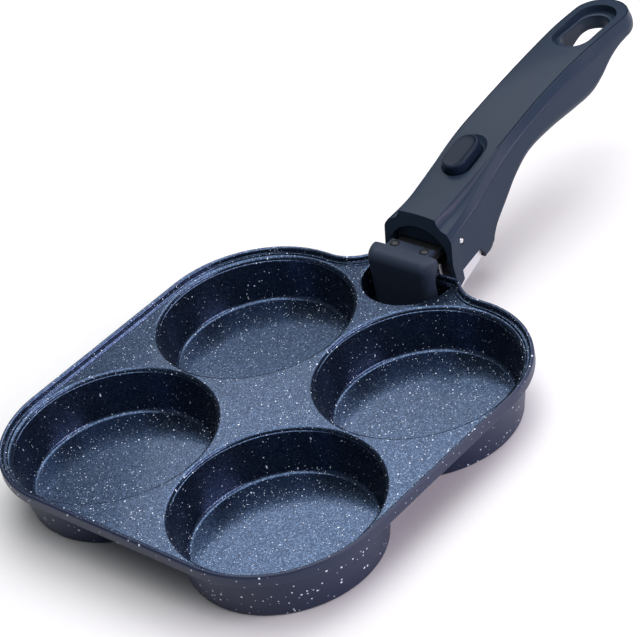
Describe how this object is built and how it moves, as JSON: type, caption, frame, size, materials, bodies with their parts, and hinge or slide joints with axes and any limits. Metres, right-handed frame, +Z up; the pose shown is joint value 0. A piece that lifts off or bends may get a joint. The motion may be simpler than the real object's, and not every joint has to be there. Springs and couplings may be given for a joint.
{
  "type": "egg pan",
  "caption": "Square egg pan with round cups and a raised rim, and a detachable clamp handle with a release button, a trigger and a hanging loop.",
  "frame": {"origin": "middle of the whole object's footprint, on the surface that the cups stand on", "axes": "+Y along the handle, from the pan to the hanging loop; +X to the right seen from the pan's free edge; +Z up"},
  "size_m": [0.194, 0.3734, 0.0739],
  "materials": {
    "coated_aluminium": "navy non-stick coating with white granite specks",
    "handle_plastic": "matte dark slate moulding",
    "cover_plastic": "matte black-grey moulding",
    "bright_steel": "bright brushed steel",
    "black_steel": "satin black coated steel",
    "black_rubber": "satin black rubber"
  },
  "bodies": {
    "pan": {"pan_body": "coated_aluminium"},
    "handle": {"handle_body": "handle_plastic", "base_cover": "cover_plastic", "cover_screw_1": "bright_steel", "cover_screw_2": "bright_steel", "support_bracket": "bright_steel", "bracket_pin": "bright_steel", "guide_block": "cover_plastic", "trigger_pin": "bright_steel", "lock_pin": "bright_steel", "jaw_spring": "bright_steel", "button_spring": "bright_steel", "lock_spring": "bright_steel"},
    "jaw": {"jaw_carriage": "black_steel", "jaw_boot": "black_rubber", "jaw_pad": "black_rubber", "jaw_rivet_1": "black_steel", "jaw_rivet_2": "black_steel"},
    "trigger": {"trigger": "handle_plastic"},
    "button": {"release_button": "handle_plastic"},
    "lock": {"lock_plate": "black_steel"}
  },
  "joints": [
    {"name": "handle_lift", "type": "slide", "parent": "pan", "child": "handle", "axis": [0, 0, 1], "range_m": [0, 0.04]},
    {"name": "jaw_slide", "type": "slide", "parent": "handle", "child": "jaw", "axis": [0, -1, 0], "range_m": [0, 0.005], "stiffness_N_per_m": 1500, "springref_m": -0.008, "deforming": ["jaw_spring"]},
    {"name": "trigger_pull", "type": "hinge", "parent": "handle", "child": "trigger", "pos_m": [0, 0.04625, 0.026], "axis": [1, 0, 0], "range_deg": [0, 32]},
    {"name": "button_press", "type": "slide", "parent": "handle", "child": "button", "axis": [0, 0.2419, -0.9703], "range_m": [0, 0.003], "stiffness_N_per_m": 700, "springref_m": -0.003, "deforming": ["button_spring"]},
    {"name": "lock_plate_tilt", "type": "hinge", "parent": "handle", "child": "lock", "pos_m": [0, 0.06525, 0.0389], "axis": [-1, 0, 0], "range_deg": [0, 5], "deforming": ["lock_spring"]}
  ],
  "couplings": [
    {"joint": "trigger_pull", "follows": "jaw_slide", "rad_per_m": 111.3},
    {"joint": "lock_plate_tilt", "follows": "button_press", "rad_per_m": 29.08}
  ]
}
